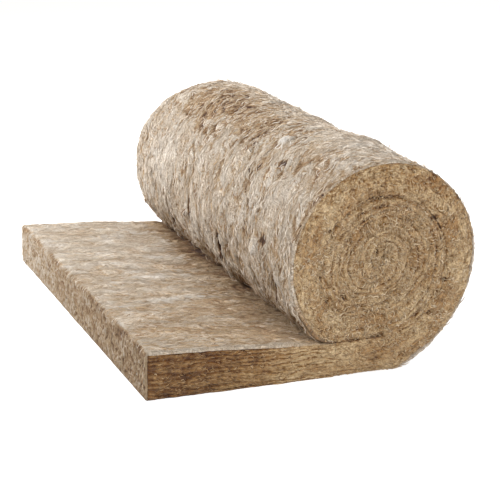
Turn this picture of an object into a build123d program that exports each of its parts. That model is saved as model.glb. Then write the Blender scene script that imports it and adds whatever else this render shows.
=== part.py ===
from build123d import *
import os
from math import cos, radians, sin, tan

# A partly unrolled roll of mineral wool insulation. It is one continuous blanket of wool.
# Its free end lies flat on the floor and the rest is wound up, so that the roll stands on the
# blanket's own flat stretch. The laps press together into one mass, and the parting between
# them shows as a spiral groove on both ends. X runs along the blanket from the free end to the
# roll, Y runs along the roll's axis and Z is up. The origin is on the floor, in the middle of
# the footprint.

# Driving dimensions, in millimetres and degrees
blanket_width = 1200.0
free_thickness = 122.0  # at the free end, where the wool has sprung back
pressed_thickness = 88.0  # under the roll, which stands on the flat stretch
top_crown = 5.0  # how far the flat stretch's top face bows above a straight line
edge_rounding = 6.0  # the soft edges of the free end
free_length = 617.0  # from the free end to the roll's axis

roll_radius = 249.0
outer_lap_thickness = 76.0  # through the outermost lap, at the right of the roll
inner_lap_thickness = 52.0  # through each lap inside it, which is wound tighter
inner_sag = 10.0  # how far the inner laps sink inside the looser outermost one
lap_rise = 8.0  # height of each inner lap's centre above that of the lap outside it
smallest_bend = 8.0  # the wool isn't wound tighter than this radius at the core
parting_width = 2.5  # between laps that lie against each other
parting_depth = 14.0  # how far in from each end of the roll the laps stay parted

outer_flattening_angle = 45.0  # below the axis, where the outermost lap starts to flatten
inner_flattening_angle = 36.0  # the same for the laps inside it
haunch_radius = 70.0  # bend of the outermost lap where it flattens on the flat stretch
lift_angle = 33.0  # slope at which the outermost lap leaves the floor
lift_rounding = 15.0  # bend of the blanket's underside where it leaves the floor
bend_fullness = 0.97  # how much of a lap's way up is bent, the rest being straight


def haunch_of(radius):
    """Bend of a lap where it flattens, in proportion to the outermost lap's."""
    return haunch_radius * radius / roll_radius


def drop_of(radius, angle):
    """Height from a lap's centre down to where it lies flat on what is below it."""
    return radius * sin(radians(angle)) + haunch_of(radius) * (1 - sin(radians(angle)))


# Places worked out from the driving dimensions
overall_length = free_length + roll_radius
free_end_x = -overall_length / 2
axis_x = free_end_x + free_length
axis_z = pressed_thickness + parting_width + drop_of(roll_radius, outer_flattening_angle)


def inner_laps():
    """Radius and centre height of each lap inside the outermost one, down to the core."""
    laps = []
    radius = roll_radius - outer_lap_thickness
    centre = axis_z - inner_sag
    while radius > smallest_bend:
        laps.append((radius, centre))
        radius -= inner_lap_thickness
        centre += lap_rise
    return laps


def over_the_top(start, radius, angle, offset):
    """The arcs of one lap from its rightmost point over the top and down to where it lies flat.
    offset moves them outwards, to draw the wall on the far side of the parting."""
    crown = JernArc(start, (0, 1), radius + offset, 180 + angle)
    return JernArc(crown @ 1, crown % 1, haunch_of(radius) + offset, 90 - angle)


def parting_wall(start, offset):
    """One wall of the parting, from its mouth under the roll in to the core. Each lap runs flat
    on the one below, bends up to its rightmost point and goes over the top."""
    end = start
    for radius, centre in inner_laps():
        right = axis_x + radius
        bend = bend_fullness * min(right - end.X, centre - end.Y - offset)
        corner = (right + offset, end.Y)
        rightmost = (right + offset, centre)
        FilletPolyline(end, corner, rightmost, radius=bend + offset)
        end = over_the_top(rightmost, radius, inner_flattening_angle, offset) @ 1
    return end


with BuildPart() as blanket:
    with BuildSketch(Plane.XZ) as section:
        with BuildLine() as outline:
            # the underside on the floor and up to where the outermost lap's bend begins
            slope = radians(lift_angle)
            lift_x = axis_x + roll_radius - axis_z * (1 - sin(slope))
            lift_z = axis_z * (1 - cos(slope))
            floor_corner = (lift_x - lift_z / tan(slope), 0)
            lift = (lift_x, lift_z)
            FilletPolyline((free_end_x, 0), floor_corner, lift, radius=lift_rounding)

            # up that bend, over the top of the roll and down to the flat stretch
            rise = JernArc(lift, (cos(slope), sin(slope)), axis_z, 90 - lift_angle)
            landing = over_the_top(rise @ 1, roll_radius, outer_flattening_angle, 0) @ 1

            # along the top of the flat stretch to the free end
            mouth = Vector(landing.X, pressed_thickness)
            Line(landing, mouth)
            top_edge = (free_end_x, free_thickness)
            SagittaArc(mouth, top_edge, -top_crown)
            Line(top_edge, (free_end_x, 0))
        make_face()
        fillet(section.vertices().group_by(Axis.X)[0], radius=edge_rounding)
    extrude(amount=blanket_width / 2, both=True)

    # the spiral parting, cut into each end of the roll from the mouth to the core
    for end in (1, -1):
        with BuildSketch(Plane.XZ.offset(end * blanket_width / 2)) as parting:
            with BuildLine() as walls:
                core_above = parting_wall(landing, 0)
                core_below = parting_wall(mouth, parting_width)
                Line(landing, mouth)
                Line(core_above, core_below)
            make_face()
        extrude(amount=-end * parting_depth, mode=Mode.SUBTRACT)

blanket.part.label = "wool_blanket"

os.makedirs("parts", exist_ok=True)
export_step(blanket.part, "parts/wool_blanket.step")
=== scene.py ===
import math

import bpy
import numpy as np
from mathutils import Matrix, Vector, noise


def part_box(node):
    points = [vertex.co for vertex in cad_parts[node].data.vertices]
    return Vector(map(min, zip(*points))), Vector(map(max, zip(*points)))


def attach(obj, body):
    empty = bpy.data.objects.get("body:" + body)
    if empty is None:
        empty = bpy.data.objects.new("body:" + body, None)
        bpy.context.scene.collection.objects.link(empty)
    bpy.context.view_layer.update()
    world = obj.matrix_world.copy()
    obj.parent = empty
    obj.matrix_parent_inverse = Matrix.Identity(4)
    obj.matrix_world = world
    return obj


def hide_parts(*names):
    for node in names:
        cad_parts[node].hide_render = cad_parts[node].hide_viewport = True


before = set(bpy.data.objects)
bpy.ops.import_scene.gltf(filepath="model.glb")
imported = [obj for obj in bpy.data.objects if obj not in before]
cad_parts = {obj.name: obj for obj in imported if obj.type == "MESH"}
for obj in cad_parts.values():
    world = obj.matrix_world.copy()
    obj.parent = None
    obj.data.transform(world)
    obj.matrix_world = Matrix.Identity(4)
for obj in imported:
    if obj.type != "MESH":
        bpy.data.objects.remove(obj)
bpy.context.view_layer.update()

# The skin of the roll. The blanket's faces lay against the conveyor, so they are matted webs of
# fibre combed along its length, paler than the inside, with overlapping flakes, soft lumps and
# small torn pits. The wool is laid down and cured in one piece, and then wound up.

low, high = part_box("wool_blanket")
roll_radius = 0.249
free_thickness = 0.122
pressed_thickness = 0.088
top_crown = 0.005
outer_flattening = 45
haunch_radius = 0.070
lift_angle = 33
axis_x = high.x - roll_radius
axis_z = high.z - roll_radius
roll_lip = 0.0026  # how far the wool's edge rounds over at the roll's ends
lip_raggedness = 0.0034
closing_depth = 0.026  # behind the sawn ends, where the skin's mesh closes
hidden_margin = 0.016  # how far short of an end the faces inside the wool stop
roll_step = 0.0050  # between points round the roll
row_step = 0.0037  # between points along it
roll_margin = 0.0045  # from the first and last of those rows to the ends
hidden_step = 0.03  # between points of an outline that lie inside the other wool


def arc(centre, radius, start, stop, steps):
    """Points (x, z) on an arc about centre, from start to stop in degrees."""
    angle = np.radians(np.linspace(start, stop, steps))
    return np.stack([centre[0] + radius * np.cos(angle), centre[1] + radius * np.sin(angle)], 1)


def over_the_top(radius, centre_z, flattening):
    """A lap from its rightmost point over the top and down to where it lies flat."""
    haunch = haunch_radius * radius / roll_radius
    turn = math.radians(180 + flattening)
    inset = radius - haunch
    settling = (axis_x + inset * math.cos(turn), centre_z + inset * math.sin(turn))
    crown = arc((axis_x, centre_z), radius, 0, 180 + flattening, 160)
    return np.vstack([crown, arc(settling, haunch, 180 + flattening, 270, 24)[1:]])


def off_the_floor(start_x):
    """The underside of the outermost lap, from start_x on the floor to its rightmost point."""
    slope = math.radians(lift_angle)
    lift_x = axis_x + roll_radius - axis_z * (1 - math.sin(slope))
    lift_z = axis_z * (1 - math.cos(slope))
    corner_x = lift_x - lift_z / math.tan(slope)
    corner = np.array([(start_x, 0.0), (corner_x - 0.012, 0.0), (corner_x + 0.002, 0.0014)])
    bend_centre = (axis_x + roll_radius - axis_z, axis_z)
    return np.vstack([corner, arc(bend_centre, axis_z, lift_angle - 90, 0, 90)])


def run_of(path):
    """Distance of each point of a path along it."""
    return np.r_[0, np.cumsum(np.linalg.norm(np.diff(path, axis=0), axis=1))]


def spaced(path, step, least=3):
    """A path laid out again at equal steps, without its last point."""
    run = run_of(path)
    at = np.linspace(0, run[-1], max(least, round(run[-1] / step)) + 1)[:-1]
    return np.stack([np.interp(at, run, path[:, 0]), np.interp(at, run, path[:, 1])], 1)


def laid_out(paths):
    """Paths joined at equal steps, and which of the points lie inside the other wool."""
    parts = [spaced(path, step) for path, step, _ in paths]
    hidden = [np.full(len(part), inside) for part, (_, _, inside) in zip(parts, paths)]
    return np.vstack(parts), np.concatenate(hidden)


def grain(points, size, octaves=2, seed=0.0):
    """Smooth noise of about -1 to 1, with lumps of the given size in metres."""
    at = np.asarray(points, float) / np.asarray(size, float) + seed * 17.31
    return np.array([noise.fractal(p, 0.9, 2.05, octaves) for p in at.tolist()])


def grain_over(s, across, size, seed, layer=0.0, octaves=2):
    """The same noise for grids of places along the strip and across it."""
    at = np.stack([s.ravel(), across.ravel(), np.full(s.size, layer)], 1)
    return grain(at, (*size, 1), octaves, seed).reshape(s.shape)


def smooth(value, start, stop):
    """0 below start, 1 above stop and a smooth rise between them."""
    share = np.clip((value - start) / (stop - start), 0, 1)
    return share * share * (3 - 2 * share)


flake_deck = np.random.default_rng(11).random((97, 89, 4))


def flakes(s, across, size, seed, bare=0.1):
    """Heights of flakes that lie over one another like scales, each with a thick and a thin end.
    bare is the height between them."""
    gs, ga = s / size[0] + seed * 7.7, across / size[1] + seed * 3.1
    column, row = np.floor(gs).astype(int), np.floor(ga).astype(int)
    top = np.full(gs.shape, bare)
    for dc in (-1, 0, 1):
        for dr in (-1, 0, 1):
            card = flake_deck[(column + dc) % 97, (row + dr) % 89]
            ds = gs - column - dc - card[..., 0]
            da = ga - row - dr - card[..., 1]
            lies = card[..., 2] + ds * (card[..., 3] - 0.35) * 0.9
            inside = 1 - smooth(np.hypot(ds, da), 0.68, 0.80)
            top = np.maximum(top, lies * inside - (1 - inside))
    return top


def stands_out(relief, reach):
    """How far each point of a relief stands above its surroundings: below 0 in a hollow."""
    level = relief.copy()
    for _ in range(reach):
        wide = np.pad(level, 1, mode="edge")
        level = (wide[:-2, 1:-1] + wide[2:, 1:-1] + wide[1:-1, :-2] + wide[1:-1, 2:] + level) / 5
    return relief - level


def linear(hex_colour):
    """The linear colour of an sRGB hex value."""
    channels = [int(hex_colour[i:i + 2], 16) / 255 for i in (1, 3, 5)]
    return [c / 12.92 if c <= 0.04045 else ((c + 0.055) / 1.055) ** 2.4 for c in channels] + [1.0]


def add(tree, kind, inputs=None, stops=(), **settings):
    """Adds a node with its settings. An input is a value, a hex colour, or another node or its
    output, which is linked. stops are a colour ramp's places and hex colours."""
    node = tree.nodes.new(kind)
    for key, value in settings.items():
        setattr(node, key, value)
    for key, value in (inputs or {}).items():
        if isinstance(value, bpy.types.Node):
            value = next(output for output in value.outputs if output.enabled)
        if isinstance(value, bpy.types.NodeSocket):
            tree.links.new(value, node.inputs[key])
        else:
            node.inputs[key].default_value = linear(value) if isinstance(value, str) else value
    for index, (place, colour) in enumerate(stops):
        elements = node.color_ramp.elements
        element = elements[index] if index < 2 else elements.new(place)
        element.position = place
        element.color = linear(colour)
    return node


def wool_material(name):
    """A new matt wool material, with the strip's coordinates and relief ready to use."""
    material = bpy.data.materials.new(name)
    material.use_nodes = True
    tree = material.node_tree
    shader = tree.nodes["Principled BSDF"]
    shader.inputs["Roughness"].default_value = 0.95
    shader.inputs["Specular IOR Level"].default_value = 0.1
    shader.inputs["Sheen Weight"].default_value = 0.15
    shader.inputs["Sheen Roughness"].default_value = 0.6
    strip = add(tree, "ShaderNodeAttribute", attribute_name="strip").outputs["Vector"]
    # relief holds each point's painted shade, with some of the wool's own tone mixed in
    relief = add(tree, "ShaderNodeAttribute", attribute_name="relief").outputs["Fac"]
    return material, tree, shader, strip, relief


def fibre_noise(tree, strip, size, detail, distortion, roughness=0.5, **placing):
    """Noise over the strip. size is that of its lumps in metres, along the strip, across it and
    through it, and placing turns or moves the pattern."""
    at = add(tree, "ShaderNodeMapping", {"Vector": strip, "Scale": [1 / d for d in size], **placing})
    return add(
        tree, "ShaderNodeTexNoise",
        {"Vector": at, "Scale": 1, "Detail": detail, "Roughness": roughness, "Distortion": distortion},
    )


def gaps_between(tree, fibre):
    """0 along the crest of each bundle in a noise, and more towards the gaps between them."""
    offset = add(tree, "ShaderNodeMath", {0: fibre, 1: 0.5}, operation="SUBTRACT")
    return add(tree, "ShaderNodeMath", {0: offset}, operation="ABSOLUTE")


def skin_material(name, long, wide, even):
    """Stone wool skin: basalt fibre with a little cured binder, matted by the conveyor. Pale
    bundles of fibre, long by wide metres, lie over and across one another with browner gaps
    between them, and even is how far the gaps are felted over. A single fibre is a few
    thousandths of a millimetre thick and wouldn't show, so the bundles are 3 to 4 mm wide."""
    material, tree, shader, strip, relief = wool_material(name)
    gaps = gaps_between(tree, fibre_noise(tree, strip, (long, wide, 0.02), 3.0, 1.6))
    askew = {"Location": (3.1, 7.7, 0), "Rotation": (0, 0, 0.9)}
    crossing = fibre_noise(tree, strip, (0.0130, 0.0075, 0.02), 2.0, 2.2, **askew)
    crossing_gaps = gaps_between(tree, crossing)
    fewer = add(tree, "ShaderNodeMath", {0: crossing_gaps, 1: 1.25, 2: 0.006}, operation="MULTIPLY_ADD")
    gaps = add(tree, "ShaderNodeMath", {0: gaps, 1: fewer}, operation="MINIMUM")
    strand_colour = add(
        tree, "ShaderNodeValToRGB", {"Fac": gaps},
        ((0.0, "#faf2e8"), (0.022, "#e4d6c4"), (0.06, "#bba488"), (0.13, "#8b6c4c")),
    )
    patches = fibre_noise(tree, strip, (0.120, 0.070, 0.2), 3.0, 1.0, roughness=0.6)
    patch_colour = add(
        tree, "ShaderNodeValToRGB", {"Fac": patches},
        ((0.34, "#b99e80"), (0.44, "#cfbda6"), (0.54, "#ded2c2"), (0.66, "#f4ede4")),
    )
    colour = add(tree, "ShaderNodeMix", {0: even, 6: strand_colour, 7: patch_colour}, data_type="RGBA")
    # Painted shade from relief, multiplied into the colour: dark brown where relief is low, in hollows,
    # creases and beside the roll's contact, white where the wool stands out.
    relief_shade_colour = add(
        tree, "ShaderNodeValToRGB", {"Fac": relief},
        ((0.0, "#67452a"), (0.16, "#a78862"), (0.38, "#dfcbae"), (0.62, "#ffffff")),
    )
    colour = add(
        tree, "ShaderNodeMix", {0: 1.0, 6: colour, 7: relief_shade_colour}, data_type="RGBA", blend_type="MULTIPLY"
    )
    # Where relief is highest the colour goes whiter: a painted highlight on raised wool, and the paler
    # colour that the pale flaps and strands have of their own.
    highlight_and_paleness = add(tree, "ShaderNodeMath", {0: relief, 1: 0.8}, operation="SUBTRACT", use_clamp=True)
    colour = add(tree, "ShaderNodeMix", {0: highlight_and_paleness, 6: colour, 7: "#f6efe6"}, data_type="RGBA")
    tree.links.new(colour.outputs[2], shader.inputs["Base Color"])
    height = add(tree, "ShaderNodeMath", {0: 0.15, 1: gaps}, operation="SUBTRACT", use_clamp=True)
    bump = add(tree, "ShaderNodeBump", {"Height": height, "Strength": 1.0, "Distance": 0.026})
    tree.links.new(bump.outputs["Normal"], shader.inputs["Normal"])
    return material


roll_wool = skin_material("stone_wool_roll_skin", long=0.0130, wide=0.0062, even=0.34)


def wool_piece(name, points, faces, strip_at, relief_at, material):
    """A mesh of the blanket with its strip coordinates and relief, riding on the body."""
    mesh = bpy.data.meshes.new(name)
    mesh.from_pydata(np.asarray(points).reshape(-1, 3).tolist(), [], [list(f) for f in faces])
    for layer_name, kind, key, values in (
        ("strip", "FLOAT_VECTOR", "vector", strip_at), ("relief", "FLOAT", "value", relief_at)
    ):
        layer = mesh.attributes.new(layer_name, kind, "POINT")
        layer.data.foreach_set(key, np.asarray(values, np.float32).ravel())
    mesh.shade_smooth()
    mesh.materials.append(material)
    piece = bpy.data.objects.new(name, mesh)
    bpy.context.scene.collection.objects.link(piece)
    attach(piece, "root")
    return piece


def ring_faces(rings, around):
    """Quads between successive closed rings of points, with a face over each end."""
    r, c = np.meshgrid(np.arange(rings - 1), np.arange(around), indexing="ij")
    n = (c + 1) % around
    quads = np.stack([r * around + c, (r + 1) * around + c, (r + 1) * around + n, r * around + n], -1)
    ends = [list(range(around)), list(range((rings - 1) * around, rings * around))[::-1]]
    return quads.reshape(-1, 4).tolist() + ends


def skin_body(
    name, outline, raised, relief, lip, lip_relief, hidden, skin_y, grain_run, grain_y, material
):
    """A closed body of wool in the given material, with a skinned face all round and a soft lip
    at each end. outline runs anticlockwise, and raised and relief have a row for each skin_y.
    lip is the rounding of each column's ends and lip_relief its shade, hidden columns lie inside
    the other wool, and grain_run and grain_y are the distances that the strands' colours
    follow."""
    tangent = np.roll(outline, -1, 0) - np.roll(outline, 1, 0)
    tangent /= np.linalg.norm(tangent, axis=1)[:, None]
    normal = np.stack([tangent[:, 1], -tangent[:, 0]], 1)
    around = len(outline)
    ragged = lip_raggedness * grain(np.c_[outline, np.zeros(around)], (0.012, 0.012, 1), 2, 8.0)

    # how far inside the outline and behind the end each ring of the closing and the lip lies
    closing = (lip * 1.5 + 0.006, np.full(around, closing_depth))
    places = [closing, (lip * 1.25 + 0.001, lip * 0.5 + 0.003)]
    for turn in np.radians((90, 68, 45, 22, 0)):
        places.append((lip * (1 - math.cos(turn)), lip * (1 - math.sin(turn)) + ragged * math.sin(turn)))
    rings = []
    for end_y, into, row in ((low.y, 1, 0), (high.y, -1, -1)):
        end = []
        for order, (inset, depth) in enumerate(places):
            depth = np.where(hidden, hidden_margin + 0.0001 * order, depth)
            xz = outline + normal * (raised[row] * (1 - smooth(inset, 0, 0.004)) - inset)[:, None]
            end.append(np.stack([xz[:, 0], end_y + into * depth, np.maximum(xz[:, 1], 0.0002)], 1))
        rings.append(end)
    body = []
    for row, y in enumerate(skin_y):
        xz = outline + normal * raised[row][:, None]
        row_y = np.where(hidden, y * (1 - (hidden_margin + 0.002) / high.y), y)
        body.append(np.stack([xz[:, 0], row_y, np.maximum(xz[:, 1], 0)], 1))
    points = np.array(rings[0] + body + rings[1][::-1])
    count = len(points)
    strip_at = np.zeros((count, around, 3))
    strip_at[:, :, 0] = grain_run
    strip_at[:, :, 1] = points[:, :, 1]
    ends = len(places)
    strip_at[ends:-ends, :, 1] = grain_y
    strip_at[:ends, :, 1] += grain_y[0] - skin_y[0]
    strip_at[-ends:, :, 1] += grain_y[-1] - skin_y[-1]
    relief_at = np.full((count, around), 0.5)
    relief_at[ends:-ends] = relief
    for row, at_lip in ((0, slice(2, ends)), (-1, slice(-ends, -2))):
        evened = np.convolve(np.pad(relief[row], 6, mode="edge"), np.full(13, 1 / 13), "valid")
        relief_at[at_lip] = evened * 0.5 + lip_relief * 0.5
    piece = wool_piece(name, points, ring_faces(count, around), strip_at, relief_at, material)
    return piece, np.array(body)


over_roll = over_the_top(roll_radius, axis_z, outer_flattening)
mouth = np.array([over_roll[-1][0], pressed_thickness])
roll_outline, roll_hidden = laid_out((
    (off_the_floor(mouth[0])[:2], hidden_step, True),
    (np.vstack([off_the_floor(mouth[0])[1:], over_roll[1:]]), roll_step, False),
    (np.array([over_roll[-1], (mouth[0], 0.0)]), hidden_step, True),
))
skin_y = np.linspace(low.y + roll_margin, high.y - roll_margin, round((high.y - low.y) / row_step))


def skin_relief(s, y, seed, lean):
    """The height in metres of a skin's lumps, flakes and strands at s along and y across it, and
    the bent y that the strands run along. lean is how far they have shifted across by each s."""
    drift = grain_over(s, y, (0.10, 0.07), 5.0, seed)
    ragged = grain_over(s, y, (0.020, 0.009), 6.0, seed)
    lumps = grain_over(s, y, (0.19, 0.12), 1.0, seed)
    y_bent = y + drift * 0.030 + ragged * 0.003 + lean
    s_bent = s + ragged * 0.010
    broad = flakes(s_bent, y_bent, (0.105, 0.055), 1 + seed)
    small = flakes(s_bent, y_bent, (0.027, 0.014), 2 + seed)
    torn = smooth(grain_over(s, y, (0.11, 0.08), 7.0, seed), -0.35, 0.45)
    combed = smooth(grain_over(s, y, (0.14, 0.09), 17.0, seed), -0.4, 0.4)
    strand = 1 - 2 * np.abs(grain_over(s_bent, y_bent, (0.015, 0.0080), 3.0, seed))
    height = lumps * 0.0075 + broad * 0.0045 + small * (0.0014 + 0.0034 * torn)
    return height + strand * (0.0009 + 0.0012 * combed), y_bent


roll_run = run_of(roll_outline)
rightmost_run = roll_run[np.argmax(roll_outline[:, 0])]
s_grid, y_grid = np.meshgrid(roll_run, skin_y)

# The strands lie round the roll, and lean along it over the top left. round_roll is the angle
# from the rightmost point in radians.
round_roll = (roll_run - rightmost_run) / roll_radius
roll_lean = 0.80 * smooth(round_roll, 1.4, 2.2) * (1 - smooth(round_roll, 2.5, 3.3))
leaning = np.cumsum(roll_lean) * roll_step
roll_raised, roll_grain_y = skin_relief(s_grid, y_grid, 0.0, leaning)

# Marks on the skin: the angle round the roll in degrees and the place along it in metres, how far
# each reaches round and along it, how far it stands up, and how pale it is. Angles over 300 are
# under the right of the roll. The dark tone of the pits, creases and slits is painted shade, and so
# is the darker patch under the right of the roll; the pale flaps are whiter wool, and broad patches
# make the skin darker in places, most over the top, and paler in others, most on the upper left.
skin_marks = (
    (112, 0.340, 0.120, 0.170, 0.000, -0.28), (98, 0.270, 0.080, 0.150, -0.001, -0.15),
    (110, 0.050, 0.100, 0.150, -0.002, -0.23), (102, -0.080, 0.090, 0.100, -0.001, -0.14),
    (130, -0.107, 0.022, 0.014, -0.0045, -0.40), (122, -0.075, 0.030, 0.010, -0.002, -0.20),
    (138, -0.225, 0.030, 0.016, -0.0025, -0.22), (130, -0.321, 0.018, 0.018, -0.0040, -0.44),
    (174, -0.418, 0.016, 0.014, -0.0040, -0.48), (115, -0.216, 0.020, 0.020, 0.0110, 1.20),
    (181, -0.371, 0.017, 0.017, 0.0090, 1.00), (186, 0.121, 0.034, 0.008, -0.0090, -0.60),
    (197, -0.090, 0.036, 0.009, -0.0120, -0.80), (205, 0.330, 0.030, 0.009, -0.0060, -0.35),
    (198, -0.470, 0.028, 0.009, -0.0060, -0.35), (162, 0.380, 0.110, 0.110, 0.002, 0.36),
    (152, -0.440, 0.070, 0.050, 0.003, 0.22), (75, -0.400, 0.110, 0.160, 0.002, 0.26),
    (150, 0.100, 0.030, 0.040, 0.002, 0.14), (142, -0.330, 0.030, 0.030, 0.003, 0.20),
    (164, 0.192, 0.026, 0.020, -0.0025, -0.28), (134, 0.209, 0.020, 0.050, -0.0015, -0.18),
    (117, -0.460, 0.020, 0.070, -0.0020, -0.10), (20, 0.150, 0.050, 0.090, 0.000, -0.14),
    (139, -0.592, 0.085, 0.016, -0.0020, -0.18), (176, -0.300, 0.040, 0.030, -0.0020, -0.15),
    (330, -0.200, 0.060, 0.100, 0.000, -0.12), (345, 0.300, 0.022, 0.014, -0.0050, -0.40),
    (45, 0.400, 0.020, 0.016, -0.0040, -0.40), (70, 0.080, 0.030, 0.012, -0.0040, -0.35),
    (160, 0.570, 0.200, 0.060, 0.0050, 0.00), (58, -0.500, 0.170, 0.170, -0.0080, 0.00),
    (72, 0.000, 0.130, 0.120, -0.0050, 0.00),
)
mark_tone_and_shade = np.zeros_like(s_grid)
mark_ragged = 0.30 * grain_over(s_grid, y_grid, (0.014, 0.008), 21.0)
for angle, y0, reach_round, reach_along, stands, tone in skin_marks:
    ds = s_grid - rightmost_run - math.radians(angle - 360 * (angle > 300)) * roll_radius
    off = np.hypot(ds / reach_round, (y_grid - y0) / reach_along) + mark_ragged
    over = np.exp(-np.clip(off, 0, None) ** 3)
    roll_raised += stands * over
    mark_tone_and_shade += tone * over

# torn pits, each with a place along the skin and across it, a length, a width and a skew
rng = np.random.default_rng(4)
pit_count = 9
first_wrap, last_wrap = roll_run[3] + 0.1, roll_run[-6] - 0.08
for _ in range(pit_count):
    s0, y0 = rng.uniform(first_wrap, last_wrap), rng.uniform(low.y + 0.04, high.y - 0.04)
    length, width = rng.uniform(0.010, 0.030), rng.uniform(0.005, 0.010)
    skew = rng.uniform(-0.4, 0.4)
    ds = s_grid - s0
    reach = np.hypot(ds / length, (y_grid - y0 - skew * ds) / width)
    reach += 0.35 * flakes(s_grid, y_grid, (0.012, 0.006), 5)
    roll_raised += width * (-0.50 * np.exp(-reach ** 2 * 1.5) + 0.15 * np.exp(-((reach - 1.6) / 0.5) ** 2))

# The relief fades out where the wool is held: on the floor, at the mouth and round each rim.
clear_of_floor = np.where(roll_hidden, 0, np.clip(roll_outline[:, 1] / 0.03, 0, 1))
from_mouth = np.linalg.norm(roll_outline - mouth, axis=1)
roll_fade = clear_of_floor * (0.15 + 0.85 * smooth(from_mouth, 0.01, 0.06))
from_rim = np.minimum(y_grid - low.y, high.y - y_grid)
held = 0.10 + 0.65 * smooth(roll_outline[:, 0], axis_x + 0.12, axis_x + 0.22)

# The shade painted into the colour: darker and browner in hollows, lighter on raised wool, darker
# towards the front end, and darkest beside the flat stretch, where the roll sits on it.
near_end_shade = 1 - smooth(y_grid, -0.75, 0.20)
contact_shade = 1 - smooth(from_mouth, 0.02, 0.20)
roll_shade_and_tone = 0.60 + stands_out(roll_raised, 14) / 0.0088 + stands_out(roll_raised, 120) / 0.0220
roll_shade_and_tone = np.clip(roll_shade_and_tone - 0.08 * near_end_shade, 0, 1.1) + mark_tone_and_shade - 0.40 * contact_shade
roll_raised = roll_raised * roll_fade * (1 - held * (1 - smooth(from_rim, 0.0, 0.07))) - 0.001
lip = np.where(roll_hidden, 0.001, 0.0012 + (roll_lip - 0.0012) * smooth(from_mouth, 0.01, 0.08))
roll_skin, roll_body = skin_body(
    "roll_skin", roll_outline, roll_raised, roll_shade_and_tone, lip, 0.66 - 0.5 * contact_shade, roll_hidden, skin_y,
    roll_run, roll_grain_y, roll_wool,
)
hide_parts("wool_blanket")

# The flat stretch. This is the end of the blanket that has been unrolled: it has sprung back to
# its full thickness at the free end and is pressed down by the roll. Its top is skinned as the
# roll is, and the free end was cut across with a knife, so it is short, crumbly and pitted.

flat_wool = skin_material("stone_wool_flat_skin", long=0.0160, wide=0.0058, even=0.55)
flat_corner = 0.009  # rounding of the free end's top edge, and floor_corner of its lower one
floor_corner = 0.006
free_end_skew = 0.005  # how far out of square the knife went
under_roll = 0.05  # how far the stretch goes on past the mouth, sunk a little under the roll
sunk_thickness = pressed_thickness - 0.004
flat_step = 0.0050
flat_row_step = 0.0043
flat_margin = 0.0098
share = np.linspace(1, 0, 60)
flat_x = low.x + share * (mouth[0] - low.x)
straight_top = free_thickness + share * (pressed_thickness - free_thickness)
flat_top = np.stack([flat_x, straight_top + 4 * top_crown * share * (1 - share)], 1)
under_x = mouth[0] + under_roll
top_and_end = np.vstack([
    [(under_x, sunk_thickness)],
    flat_top[flat_top[:, 0] > low.x + flat_corner],
    arc((low.x + flat_corner, free_thickness - flat_corner), flat_corner, 90, 180, 7),
    arc((low.x + floor_corner, floor_corner), floor_corner, 180, 270, 5),
])


def flat_lip(x):
    """The rounding of the flat stretch's long edges, which the roll presses shut at its mouth."""
    return 0.0012 + 0.0063 * smooth(mouth[0] - x, 0.0, 0.16)


flat_outline, flat_hidden = laid_out((
    (np.array([(low.x + floor_corner, 0.0), (under_x, 0.0)]), hidden_step, True),
    (np.array([(under_x, 0.0), (under_x, sunk_thickness)]), hidden_step, True),
    (top_and_end, flat_step, False),
))
flat_hidden |= flat_outline[:, 0] > mouth[0] - 0.004
flat_run = run_of(flat_outline)
flat_rows = round((high.y - low.y) / flat_row_step)
flat_y = np.linspace(low.y + flat_margin, high.y - flat_margin, flat_rows)
s_grid, y_grid = np.meshgrid(flat_run, flat_y)
x_grid = s_grid * 0 + flat_outline[:, 0]
at_end = smooth(-flat_outline[:, 0], -(low.x + 0.008), -(low.x + 0.0005))
top_relief, flat_grain_y = skin_relief(s_grid, y_grid, 3.0, 0.0)
top_relief *= 0.45

# Soft blotches on the top of the flat stretch: the place along and across the strip, the reach
# each way in metres, how far it stands up and how pale it is.
flat_marks = (
    (-0.227, -0.012, 0.070, 0.016, 0.002, 0.75), (-0.183, -0.211, 0.055, 0.014, 0.003, 0.80),
    (-0.259, -0.230, 0.060, 0.018, 0.003, 0.80), (-0.300, -0.130, 0.070, 0.030, 0.001, 0.20),
    (-0.210, 0.330, 0.120, 0.080, 0.000, 0.12), (-0.089, -0.330, 0.060, 0.050, 0.000, -0.12),
    (0.005, 0.222, 0.060, 0.060, 0.000, -0.16), (-0.121, -0.232, 0.030, 0.020, 0.000, -0.14),
    (-0.257, 0.419, 0.012, 0.007, -0.003, -0.40), (-0.240, 0.323, 0.030, 0.020, 0.000, -0.12),
    (-0.120, -0.443, 0.010, 0.010, 0.002, 0.35), (-0.300, -0.470, 0.090, 0.050, 0.000, -0.06),
)
flat_tone = np.zeros_like(s_grid)
mark_ragged = 0.40 * grain_over(s_grid, y_grid, (0.022, 0.008), 22.0)
for x, y, reach_x, reach_y, stands, tone in flat_marks:
    off = np.hypot((x_grid - x) / reach_x, (y_grid - y) / reach_y) + mark_ragged
    over = np.exp(-np.clip(off, 0, None) ** 2 * 1.5) * (1 - at_end)
    top_relief += stands * over
    flat_tone += tone * over

# the crumbly free end, in metres: crumbs, lumps and small pits where the knife tore them out
crumbs = flakes(s_grid, y_grid, (0.009, 0.010), 7, -0.4) * 0.0014
crumbs += grain_over(s_grid, y_grid, (0.009, 0.010), 9.0, 9.0) * 0.0018
crumbs += grain_over(s_grid, y_grid, (0.06, 0.08), 10.0, 9.0) * 0.0030
pits = smooth(-grain_over(s_grid, y_grid, (0.011, 0.009), 23.0, 9.0), 0.35, 0.60)
crumbs -= 0.0020 * pits
facing = np.clip((low.x + flat_corner - flat_outline[:, 0]) / flat_corner, 0, 1)
flat_raised = top_relief * (1 - at_end) + crumbs * at_end
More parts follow.
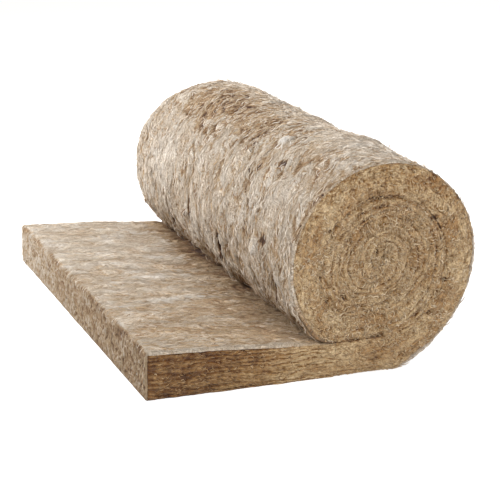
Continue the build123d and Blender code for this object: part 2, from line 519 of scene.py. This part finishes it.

# Painted shade in its colour: darker and browner in hollows, towards the front end and beside the
# roll, and lighter towards the far end. The cut end is browner wool, with painted shade in its pits.
near_end_shade = (1 - smooth(y_grid, -0.70, 0.45)) * smooth(x_grid, low.x - 0.3, mouth[0] + 0.1)
contact_shade = 1 - smooth(mouth[0] - x_grid, 0.0, 0.17)
flat_shade_and_tone = 0.60 + stands_out(flat_raised, 12) / (0.0090 - 0.0010 * at_end)
flat_shade_and_tone = flat_shade_and_tone + stands_out(flat_raised, 90) / 0.0300
flat_shade_and_tone += 0.10 * smooth(y_grid, -0.1, 0.6) - (0.20 + 0.30 * pits) * at_end - 0.28 * near_end_shade
flat_shade_and_tone = np.clip(flat_shade_and_tone - (0.66 - 0.80 * near_end_shade) * contact_shade, 0.02, 1) + flat_tone
flat_raised += free_end_skew * smooth(y_grid, low.y, high.y) * facing ** 2
# The lip along the long edges: a painted highlight on the rounded edge, painted shade towards the roll,
# browner wool at the cut end, and patchy.
lip_patches = grain(np.c_[flat_outline, flat_run * 0], (0.05, 0.05, 1))
flat_lip_shade_and_tone = (0.68 - 0.42 * contact_shade)[0] - 0.22 * at_end + 0.14 * lip_patches
clear_of_floor = np.where(flat_hidden, 0, np.clip(flat_outline[:, 1] / 0.012, 0, 1))
from_mouth = np.abs(flat_outline[:, 0] - mouth[0])
flat_raised = (flat_raised - 0.001) * clear_of_floor * (0.1 + 0.9 * smooth(from_mouth, 0.005, 0.05))
lip = np.where(flat_hidden, 0.001, flat_lip(flat_outline[:, 0]) - 0.003 * at_end)
flat_skin, flat_body = skin_body(
    "flat_stretch_skin", flat_outline, flat_raised, flat_shade_and_tone, lip, flat_lip_shade_and_tone, flat_hidden, flat_y,
    flat_run + 2.5 * np.cumsum(at_end) * flat_step, flat_grain_y, flat_wool,
)

# The cut ends. The blanket was sawn to width, so each end shows the wool edge on: thin laminae
# pressed along the strip, crimped fibre between them, and the spiral parting where the laps lie
# together. Each end is one closed band of wool that follows the strip from end to end.

outer_lap_thickness = 0.076
inner_lap_thickness = 0.052
inner_sag = 0.010
lap_rise = 0.008
smallest_bend = 0.008
inner_flattening = 36
bend_fullness = 0.97
band_step = 0.0032  # between points along the strip
band_depth = 0.022  # how deep the closed band of the sawn end reaches into the wool
band_support = 0.020  # a row of points beside its back edge, which keeps that edge's shading crisp
core_share = 0.15  # size of the last lap's closed core, as a share of that lap
laminae_through = 8.0


def up_from(landing, radius, centre_z):
    """A lap from where it lies flat on the one below to its rightmost point."""
    right = axis_x + radius
    bend = bend_fullness * min(right - landing[0], centre_z - landing[1])
    turn = arc((right - bend, landing[1] + bend), bend, -90, 0, 64)
    return np.vstack([[landing], turn, [(right, centre_z)]])


# Each lap's outer wall faces away from the axis and its inner wall faces the axis. Each wall
# is kept with the lip that the skin leaves there.
landing = np.array([mouth[0], pressed_thickness])
start_x = low.x + 0.005
outer_walls = [(np.array([(start_x, 0.0), landing * (1, 0)]), 0.0)]
outer_walls += [(off_the_floor(landing[0]), roll_lip), (over_roll, roll_lip)]
inner_walls = [(flat_top[::-1] + (0.005, 0), 0.0)]
radius, centre_z = roll_radius - outer_lap_thickness, axis_z - inner_sag
while radius > smallest_bend:
    for wall in (up_from(landing, radius, centre_z), over_the_top(radius, centre_z, inner_flattening)):
        inner_walls.append((wall, 0.0))
        outer_walls.append((wall, 0.0))
    core = np.array([axis_x, centre_z])
    landing = outer_walls[-1][0][-1]
    radius -= inner_lap_thickness
    centre_z += lap_rise
for wall, _ in outer_walls[-2:]:
    inner_walls.append((core + (wall - core) * core_share, 0.0))

outer_edge, inner_edge, outer_lips, inner_lips = [], [], [], []
for (out_wall, out_lip), (in_wall, in_lip) in zip(outer_walls, inner_walls):
    laid = spaced(out_wall, band_step, 6)
    outer_edge.append(laid)
    inner_edge.append(spaced(in_wall, run_of(in_wall)[-1] / len(laid), 6))
    outer_lips.append(np.full(len(laid), out_lip))
    inner_lips.append(np.full(len(laid), in_lip))
mouth_column = len(outer_edge[0])
inner_lap_column = sum(len(part) for part in outer_edge[:3])
second_lap_column = sum(len(part) for part in outer_edge[:5])
inner_lips[0] = flat_lip(inner_edge[0][:, 0]) - 0.001
outer_edge, inner_edge = np.vstack(outer_edge), np.vstack(inner_edge)
outer_lips, inner_lips = np.concatenate(outer_lips), np.concatenate(inner_lips)
across = inner_edge - outer_edge
across /= np.linalg.norm(across, axis=1)[:, None]
outer_edge = outer_edge + across * outer_lips[:, None]
inner_edge = inner_edge - across * inner_lips[:, None]
strip_run = run_of((outer_edge + inner_edge) / 2)

# Stone wool cut face: the same fibre seen edge on. It is browner than the skin, because the
# binder's colour shows between the fibres, with pale curled bundles 1 to 2 mm thick.
cut_wool, tree, shader, strip, relief = wool_material("stone_wool_cut_face")
lamina_gaps = gaps_between(tree, fibre_noise(tree, strip, (0.034, 0.2, 0.0060), 2.5, 0.5))
lamina_colour = add(
    tree, "ShaderNodeValToRGB", {"Fac": lamina_gaps},
    ((0.0, "#e0c9a6"), (0.04, "#c6ad87"), (0.11, "#a68b65"), (0.20, "#826744")),
)
curl_gaps = gaps_between(tree, fibre_noise(tree, strip, (0.0085, 0.2, 0.0065), 2.0, 1.2))
curl_colour = add(
    tree, "ShaderNodeValToRGB", {"Fac": curl_gaps},
    ((0.0, "#f0dfc3"), (0.035, "#ccb38f"), (0.10, "#a78c68"), (0.18, "#826744")),
)
# The laminae show on the flat stretch, and from 0.3 m along the strip they give way to curls.
run = add(tree, "ShaderNodeSeparateXYZ", {0: strip}).outputs["X"]
curled = add(tree, "ShaderNodeMapRange", {0: run, 1: 0.3, 2: 0.8, 3: 0.25, 4: 0.60})
colour = add(tree, "ShaderNodeMix", {0: curled, 6: lamina_colour, 7: curl_colour}, data_type="RGBA")
patches = fibre_noise(tree, strip, (0.110, 0.2, 0.055), 2.0, 0.5)
patch_colour = add(
    tree, "ShaderNodeValToRGB", {"Fac": patches},
    ((0.36, "#ceb695"), (0.50, "#eee5d7"), (0.64, "#fbf8f1")),
)
colour = add(
    tree, "ShaderNodeMix", {0: 0.9, 6: colour, 7: patch_colour}, data_type="RGBA", blend_type="MULTIPLY"
)
# Painted shade from relief, multiplied into the colour: dark brown in hollows, cracks and partings, white
# where the wool stands out.
relief_shade_colour = add(
    tree, "ShaderNodeValToRGB", {"Fac": relief},
    ((0.0, "#5b4123"), (0.16, "#957650"), (0.40, "#dccdb6"), (0.62, "#ffffff")),
)
colour = add(
    tree, "ShaderNodeMix", {0: 1.0, 6: colour, 7: relief_shade_colour}, data_type="RGBA", blend_type="MULTIPLY"
)
paler = add(tree, "ShaderNodeMath", {0: relief, 1: 1.0}, operation="SUBTRACT", use_clamp=True)
colour = add(tree, "ShaderNodeMix", {0: paler, 6: colour, 7: "#efe0c6"}, data_type="RGBA")
tree.links.new(colour.outputs[2], shader.inputs["Base Color"])
both = add(tree, "ShaderNodeMath", {0: lamina_gaps, 1: curl_gaps}, operation="ADD")
height = add(tree, "ShaderNodeMath", {0: 0.35, 1: both}, operation="SUBTRACT", use_clamp=True)
bump = add(tree, "ShaderNodeBump", {"Height": height, "Strength": 0.9, "Distance": 0.010})
tree.links.new(bump.outputs["Normal"], shader.inputs["Normal"])

# Marks on a sawn end: the place across and up, the reach in metres, how far each stands out and
# how pale it is. They are hollows beside the first parting and small holes, darkened and browned
# with painted shade, and paler lumps and patches.
end_marks = (
    (0.163, 0.440, 0.026, -0.005, -0.30), (0.108, 0.411, 0.024, -0.005, -0.30),
    (0.326, 0.304, 0.022, -0.003, -0.15), (0.274, 0.139, 0.020, -0.003, -0.16),
    (0.318, 0.387, 0.014, -0.006, -0.20), (0.030, 0.375, 0.0055, -0.012, -0.50),
    (0.013, 0.259, 0.0045, -0.010, -0.45), (0.162, 0.313, 0.0070, -0.010, -0.40),
    (0.354, 0.223, 0.0080, -0.011, -0.40), (0.316, 0.140, 0.0070, -0.010, -0.40),
    (0.055, 0.155, 0.022, 0.005, 0.12), (0.040, 0.320, 0.016, 0.003, 0.10),
    (0.372, 0.330, 0.020, 0.004, 0.08), (0.213, 0.478, 0.012, 0.004, 0.10),
    (0.075, 0.205, 0.012, -0.006, -0.25), (0.030, 0.200, 0.010, -0.006, -0.20),
    (0.000, 0.290, 0.060, 0.000, 0.20), (0.350, 0.120, 0.050, 0.000, 0.28),
)


def cut_end(name, face_y, into, seed, band_rows, flip):
    """One sawn end. into is +1 where the wool lies towards +Y from the face, and flip is -1
    where the marks on it are turned about the roll's axis."""

    # band_rows rows through the wool's thickness, closer together near the two walls
    s = strip_run[:, None]
    count = len(strip_run)
    thick = np.linalg.norm(inner_edge - outer_edge, axis=1)[:, None]
    even = np.linspace(0, 1, band_rows + 1)
    share = (0.45 * even + 0.55 * (0.5 - 0.5 * np.cos(np.pi * even)))[None, :]
    xz = outer_edge[:, None, :] + (inner_edge - outer_edge)[:, None, :] * share[:, :, None]
    t = thick * share
    at = np.stack([np.repeat(s, band_rows + 1, 1), t, np.full_like(t, seed)], -1).reshape(-1, 3)
    space = np.stack([xz[:, :, 0], xz[:, :, 1], np.full_like(t, seed)], -1).reshape(-1, 3)
    warp = 1.1 * grain(at, (0.13, 0.035, 1), 2, 2.0) + 0.26 * grain(at, (0.026, 0.012, 1), 2, 5.0)
    warp = warp.reshape(t.shape)

    # flat is 1 on the flat stretch, and wound is 1 on the laps inside the outermost one
    flat = 1 - smooth(s, 0.38, 0.80)
    wound = smooth(s, strip_run[inner_lap_column] - 0.15, strip_run[inner_lap_column] + 0.15)
    lamina = np.cos(2 * np.pi * (share * laminae_through * (1 - 0.4 * wound) + warp))
    rings = np.cos(2 * np.pi * (share * 3 + 0.5 * warp))

    # the wool cracks between laminae here and there, and the cracks' middles get painted shade
    places = grain(at, (0.110, 0.012, 1), 2, 13.0).reshape(t.shape)
    cracks = smooth(-lamina, 0.50, 1.0) * smooth(places, -0.20, 0.40)
    crack_shade = smooth(-lamina, 0.72, 0.98) * smooth(places, -0.10, 0.25)
    curls = 1 - 2.4 * np.abs(grain(space, (0.012, 0.012, 1), 2, 3.0)).reshape(t.shape)
    lumps = grain(space, (0.042, 0.042, 1), 2, 4.0).reshape(t.shape)
    depth = lamina * (0.0005 + 0.0002 * flat + 0.0003 * wound) - cracks * (0.0004 + 0.0018 * flat)
    depth = depth + curls * (0.0019 - 0.0010 * flat - 0.0006 * wound) + lumps * (0.0052 - 0.0030 * flat)
    depth = depth + rings * (0.0004 + 0.0022 * wound)

    # each lap bulges between its two walls, and the laps part unevenly from one another
    depth = depth - 0.003 * (2 * share - 1) ** 4
    at_wall = np.stack([at[:, 0], np.zeros(len(at)), at[:, 2]], 1)[:: band_rows + 1]
    open_out = smooth(grain(at_wall, (0.06, 1, 1), 3, 14.0), -0.5, 0.6)[:, None]
    open_in = smooth(grain(at_wall, (0.06, 1, 1), 3, 15.0), -0.5, 0.6)[:, None]

    # how wide the parting may open along each wall: most between the first two laps
    edge_out = np.full(s.shape, 0.40)
    edge_out[:mouth_column] = 0.15
    edge_out[mouth_column:inner_lap_column] = 0.25
    edge_out[inner_lap_column:second_lap_column] = 1.0
    edge_in = np.full(s.shape, 0.40)
    edge_in[:mouth_column] = 0.25
    edge_in[mouth_column:inner_lap_column] = 1.0
    # tone darkens the flat stretch's cut face, partly as browner wool and partly as painted shade, and puts
    # painted shade along its cracks. Below, it adds painted shade in the partings' gaps.
    tone = 0.09 - 0.47 * (1 - smooth(s, 0.10, 0.55)) - 0.24 * crack_shade * flat
    for gap, opened in ((t, open_out * edge_out), (thick - t, open_in * edge_in)):
        width = 0.0025 + 0.006 * opened
        depth = depth - (0.0008 + 0.0055 * opened) * np.clip(1 - gap / width, 0, 1) ** 1.6
        depth = depth - 0.0034 * opened * np.exp(-((gap / 0.012) ** 2))
        tone = tone - 0.20 * opened * np.exp(-((gap / 0.010) ** 2))
    depth = depth - 0.0045 * wound
    # the end is darker towards its top
    tone = tone - 0.20 * smooth(xz[:, :, 1], 0.38, 0.50)

    # the marks, and then the relief's painted shade: darker and browner in hollows, lighter on lumps
    ragged = 0.35 * grain(space, (0.012, 0.012, 1), 2, 6.0).reshape(t.shape)
    spot_shade_and_tone = np.zeros_like(depth)
    for x, z, reach, stands, pale in end_marks:
        off = np.hypot((xz[:, :, 0] - axis_x) * flip - (x - axis_x), xz[:, :, 1] - z) / reach + ragged
        over = np.exp(-np.clip(off, 0, None) ** 2 * 1.4)
        depth = depth + stands * over
        spot_shade_and_tone = spot_shade_and_tone + pale * over
    depth = np.clip(depth, -0.019, 0.007)
    shade = stands_out(depth, 16) / (0.0110 + 0.0060 * flat)
    shade = shade + stands_out(depth, 110) / (0.0170 + 0.0080 * flat)
    sawn_shade_and_tone = np.clip(0.57 + shade + tone, 0.20 - 0.12 * flat, 1) + spot_shade_and_tone

    # the face, down the inner wall, across the back and up the outer wall
    rows = [np.dstack([xz, face_y - into * depth])[:, :, [0, 2, 1]]]
    levels = (band_support, band_depth, band_depth, band_support)
    for edge, level in zip((inner_edge, inner_edge, outer_edge, outer_edge), levels):
        y = np.full(count, face_y + into * level)
        rows.append(np.stack([edge[:, 0], y, edge[:, 1]], 1)[:, None])
    loop = np.concatenate(rows, 1)
    loop[:, :, 2] = np.maximum(loop[:, :, 2], 0.0003)
    turn = loop.shape[1]
    faces = ring_faces(count, turn)
    if into > 0:
        faces = [f[::-1] for f in faces]
    strip_at = np.zeros((count, turn, 3))
    strip_at[:, :, 0] = s
    strip_at[:, :band_rows + 1, 2] = t
    strip_at[:, band_rows + 1:band_rows + 3, 2] = thick
    strip_at[:, :, 1] = seed * 0.1
    relief_at = np.full((count, turn), 0.1)
    relief_at[:, :band_rows + 1] = sawn_shade_and_tone
    wool_piece(name, loop, faces, strip_at, relief_at, cut_wool)
    return loop[:, :band_rows + 1], sawn_shade_and_tone


front_face, front_shade_and_tone = cut_end("cut_end_front", low.y, into=1, seed=0.0, band_rows=48, flip=1)
back_face, back_shade_and_tone = cut_end("cut_end_back", high.y, into=-1, seed=7.0, band_rows=34, flip=-1)

# Loose fibre. Ends of bundles stand off the wool everywhere: curled crumbs on the cut ends,
# long combed strands on the skin and a fuzz along the edges.


def loose_strands(
    name, grid, along, across, place, heading, length, width, curl, lift, tone, out, material
):
    """Tapered strands of wool laid on a surface. grid holds the surface's points, with a row for
    each value of along and a column for each of across. place is where each strand begins, and
    lift is how far it stands off all along, at its tip and in its middle."""
    count = len(place)
    stations = np.linspace(0, 1, 5)
    turn = heading[:, None] + curl[:, None] * (stations - 0.5)[None, :]
    s = place[:, :1] + np.cumsum(np.cos(turn) * length[:, :1] / 4, 1)
    a = place[:, 1:] + np.cumsum(np.sin(turn) * length[:, 1:] / 4, 1)
    fs = np.clip(np.interp(s, along, np.arange(len(along))), 0, len(along) - 1.001)
    fa = np.clip(np.interp(a, across, np.arange(len(across))), 0, len(across) - 1.001)
    i, j = fs.astype(int), fa.astype(int)
    u, v = (fs - i)[..., None], (fa - j)[..., None]
    path = (
        grid[i, j] * (1 - u) * (1 - v) + grid[i + 1, j] * u * (1 - v)
        + grid[i, j + 1] * (1 - u) * v + grid[i + 1, j + 1] * u * v
    )
    i, j = np.clip(i, 2, grid.shape[0] - 3), np.clip(j, 2, grid.shape[1] - 3)
    up = np.cross(grid[i + 2, j] - grid[i - 2, j], grid[i, j + 2] - grid[i, j - 2])
    up *= out / (np.linalg.norm(up, axis=-1, keepdims=True) + 1e-12)
    path[..., 2] = np.maximum(path[..., 2], 0.004)
    rise = lift[:, :1] + lift[:, 1:2] * stations ** 2 + lift[:, 2:] * np.sin(np.pi * stations)
    path = path + up * rise[..., None]
    forward = np.gradient(path, axis=1)
    side = np.cross(forward, up)
    side /= np.linalg.norm(side, axis=-1, keepdims=True) + 1e-12

    # each strand is a point, three triangular rings and a point
    points = [path[:, :1]]
    for station, full in ((1, 0.9), (2, 1.0), (3, 0.75)):
        half = (width * full / 2)[:, None]
        for beside, above in ((1, -0.5), (-1, -0.5), (0, 0.7)):
            outwards = side[:, station] * beside + up[:, station] * above
            points.append((path[:, station] + half * outwards)[:, None])
    points = np.concatenate(points + [path[:, 4:]], 1)
    points[..., 2] = np.maximum(points[..., 2], 0.0002)
    each = points.shape[1]
    pattern = [(0, 2, 1), (0, 3, 2), (0, 1, 3), (7, 8, 10), (8, 9, 10), (9, 7, 10)]
    for ring in (1, 4):
        for m, n in ((0, 1), (1, 2), (2, 0)):
            pattern += [(ring + m, ring + n, ring + 3 + n), (ring + m, ring + 3 + n, ring + 3 + m)]
    faces = (np.array(pattern)[None] + (np.arange(count) * each)[:, None, None]).reshape(-1, 3)
    strip_at = np.zeros((count, each, 3))
    strip_at[:, :, 0] = rng.uniform(0, 2, (count, 1))
    strip_at[:, :, 1] = strip_at[:, :, 2] = rng.uniform(-0.5, 0.5, (count, 1))
    wool_piece(name, points, faces.tolist(), strip_at, np.repeat(tone[:, None], each, 1), material)


def crumbs_on(name, face, face_shade_and_tone, out, count):
    """Curled crumbs and bundles of fibre on a cut end. On the flat stretch they lie closer to it,
    run more along the strip and are browner."""
    band_rows = face.shape[1] - 1
    column = rng.uniform(4, len(face) - 12, count)
    place = np.stack([column, rng.uniform(0.5, band_rows - 0.5, count)], 1)
    thick = np.linalg.norm(inner_edge - outer_edge, axis=1)[place[:, 0].astype(int)]
    long = rng.uniform(0.007, 0.017, count)
    on_roll = smooth(place[:, 0] * band_step, 0.35, 0.8)
    # Each crumb takes the painted shade and tone of the face under it, and a random paleness that is greater
    # on the roll.
    loose_strands(
        name, face, np.arange(len(face)), np.arange(band_rows + 1), place,
        rng.normal(0, 0.25 + 0.6 * on_roll, count),
        np.stack([long / band_step, long / (thick / band_rows)], 1),
        rng.uniform(0.0012, 0.0032, count), rng.normal(0, 2.2, count),
        np.stack([
            rng.uniform(-0.0002, 0.0008, count), rng.gamma(1.0, 0.0022, count) * (0.3 + 0.7 * on_roll),
            rng.gamma(1.0, 0.0014, count) * (0.3 + 0.7 * on_roll),
        ], 1),
        face_shade_and_tone[tuple(place.astype(int).T)] * 0.8
        + rng.uniform(0.10, 0.26 + 0.69 * on_roll, count), out, cut_wool,
    )


crumbs_on("crumbs_front", front_face, front_shade_and_tone, out=1, count=7000)
crumbs_on("crumbs_back", back_face, back_shade_and_tone, out=-1, count=3500)


def strands_on(name, body, body_shade_and_tone, rows, run, first, last, lean, count, loose, cut_from, material):
    """Strands combed along a skin between first and last in its run. lean is the skin's own,
    loose is how freely they stand off it, and past cut_from they are the stubble of a cut end."""
    lifted = rng.uniform(0.002, 0.011, count) * (rng.random(count) < 0.08)
    across_skin = (low.y + 0.02, high.y - 0.02)
    place = np.stack([rng.uniform(first, last, count), rng.uniform(*across_skin, count)], 1)

    # a few are moved to the two rims, as a fuzz along the edge
    at_rim = rng.random(count) < 0.04 * loose
    in_from_rim = rng.uniform(0.008, 0.030, at_rim.sum())
    place[at_rim, 1] = np.sign(place[at_rim, 1]) * (high.y - in_from_rim)
    lifted[at_rim] = rng.uniform(0.001, 0.008, at_rim.sum())
    # Each strand takes the painted shade and tone of the skin under its root, and is made paler by a random
    # amount.
    tone = body_shade_and_tone[np.searchsorted(rows, place[:, 1]) - 1, np.searchsorted(run, place[:, 0]) - 1]
    cut = place[:, 0] > cut_from
    long = rng.uniform(0.010, 0.038, count) * (1 - 0.5 * cut)
    combed = -np.arctan(np.interp(place[:, 0], run, lean))
    loose_strands(
        name, body.transpose(1, 0, 2), run, rows, place,
        rng.normal(combed, 0.42 + 1.3 * cut, count),
        np.stack([long, long], 1), rng.uniform(0.0012, 0.0032, count) * (0.4 + 0.6 * loose),
        rng.normal(0, 1.5, count),
        np.stack([
            rng.uniform(0, 0.0006, count), rng.gamma(0.6, 0.0016, count) + lifted,
            rng.gamma(0.8, 0.0010, count) + lifted * 0.4,
        ], 1) * loose,
        tone * 0.8 + rng.uniform(-0.05, 0.70 * loose ** 2, count), -1, material,
    )


strands_on(
    "strands_on_roll", roll_body, roll_shade_and_tone, skin_y, roll_run, first=roll_run[4],
    last=roll_run[-6], lean=roll_lean, count=9500, loose=1.0, cut_from=math.inf, material=roll_wool,
)
strands_on(
    "strands_on_flat", flat_body, flat_shade_and_tone, flat_y, flat_run,
    first=flat_run[np.argmax(~flat_hidden)], last=flat_run[-4], lean=np.zeros_like(flat_run),
    count=3500, loose=0.6, cut_from=flat_run[np.argmax(at_end > 0.5)], material=flat_wool,
)

# The studio: a pale floor that runs out of sight, white all round, a broad soft light from
# above and the left, and the camera where the photograph was taken from.

floor_reach = 30
floor_drop = 0.0006  # below the wool's underside, so that the two faces don't coincide

floor_corners = [(x * floor_reach, y * floor_reach, 0) for x, y in ((-1, -1), (1, -1), (1, 1), (-1, 1))]
floor_mesh = bpy.data.meshes.new("studio_floor")
floor_mesh.from_pydata(floor_corners, [], [(0, 1, 2, 3)])
studio_floor = bpy.data.objects.new("studio_floor", floor_mesh)
bpy.context.scene.collection.objects.link(studio_floor)
studio_floor.location.z = -floor_drop
floor_paint = bpy.data.materials.new("studio_floor_white")
floor_paint.use_nodes = True
tree = floor_paint.node_tree
shader = tree.nodes["Principled BSDF"]
shader.inputs["Base Color"].default_value = linear("#e9e9e9")
shader.inputs["Roughness"].default_value = 1.0
shader.inputs["Specular IOR Level"].default_value = 0.0


def seen_directly(tree):
    """1 for rays from the camera, a mirror or glass, and 0 for those that light the wool."""
    rays = add(tree, "ShaderNodeLightPath").outputs
    seen = add(
        tree, "ShaderNodeMath", {0: rays["Is Camera Ray"], 1: rays["Is Glossy Ray"]}, operation="MAXIMUM"
    )
    return add(tree, "ShaderNodeMath", {0: seen, 1: rays["Is Transmission Ray"]}, operation="MAXIMUM")


glow = add(tree, "ShaderNodeEmission", {"Color": (1, 1, 1, 1), "Strength": 0.66})
lit = add(tree, "ShaderNodeAddShader", {0: shader, 1: glow})
shown = add(tree, "ShaderNodeMixShader", {0: seen_directly(tree), 1: shader, 2: lit})
tree.links.new(shown.outputs[0], tree.nodes["Material Output"].inputs["Surface"])
floor_mesh.materials.append(floor_paint)

world = bpy.data.worlds.new("studio_white")
bpy.context.scene.world = world
world.use_nodes = True
tree = world.node_tree
soft = add(tree, "ShaderNodeBackground", {"Color": "#fffaf2", "Strength": 0.42})
white = add(tree, "ShaderNodeBackground", {"Color": (1, 1, 1, 1), "Strength": 1.0})
shown = add(tree, "ShaderNodeMixShader", {0: seen_directly(tree), 1: soft, 2: white})
tree.links.new(shown.outputs[0], tree.nodes["World Output"].inputs["Surface"])

# The lights, with a place and a size in metres and a power in watts. All aim at the roll.
light_target = Vector((0.1, 0.0, 0.2))
for name, place, size, power in (
    ("key_light", (-2.3, 2.3, 2.2), 1.6, 205),
    ("rim_light", (2.2, 1.2, 2.4), 1.5, 28),
    ("fill_light", (0.1, -3.5, 2.0), 1.6, 86),
):
    lamp = bpy.data.lights.new(name, "AREA")
    lamp.size = size
    lamp.energy = power
    light = bpy.data.objects.new(name, lamp)
    bpy.context.scene.collection.objects.link(light)
    aim = light_target - Vector(place)
    light.matrix_world = Matrix.Translation(place) @ aim.to_track_quat("-Z", "Y").to_matrix().to_4x4()

# The camera, from the fit to the photograph's edges: metres, degrees and millimetres of lens.
camera_place = (-1.42968, -3.63384, 1.30171)
camera_yaw = 22.452
camera_pitch = 16.187
camera_roll = 1.246
camera_lens = 104.9
camera_data = bpy.data.cameras.new("photo_camera")
camera_data.lens = camera_lens
camera = bpy.data.objects.new("photo_camera", camera_data)
bpy.context.scene.collection.objects.link(camera)
camera.matrix_world = (
    Matrix.Translation(camera_place)
    @ Matrix.Rotation(math.radians(-camera_yaw), 4, "Z")
    @ Matrix.Rotation(math.radians(90 - camera_pitch), 4, "X")
    @ Matrix.Rotation(math.radians(camera_roll), 4, "Z")
)
bpy.context.scene.camera = camera
bpy.context.scene.view_settings.view_transform = "Standard"
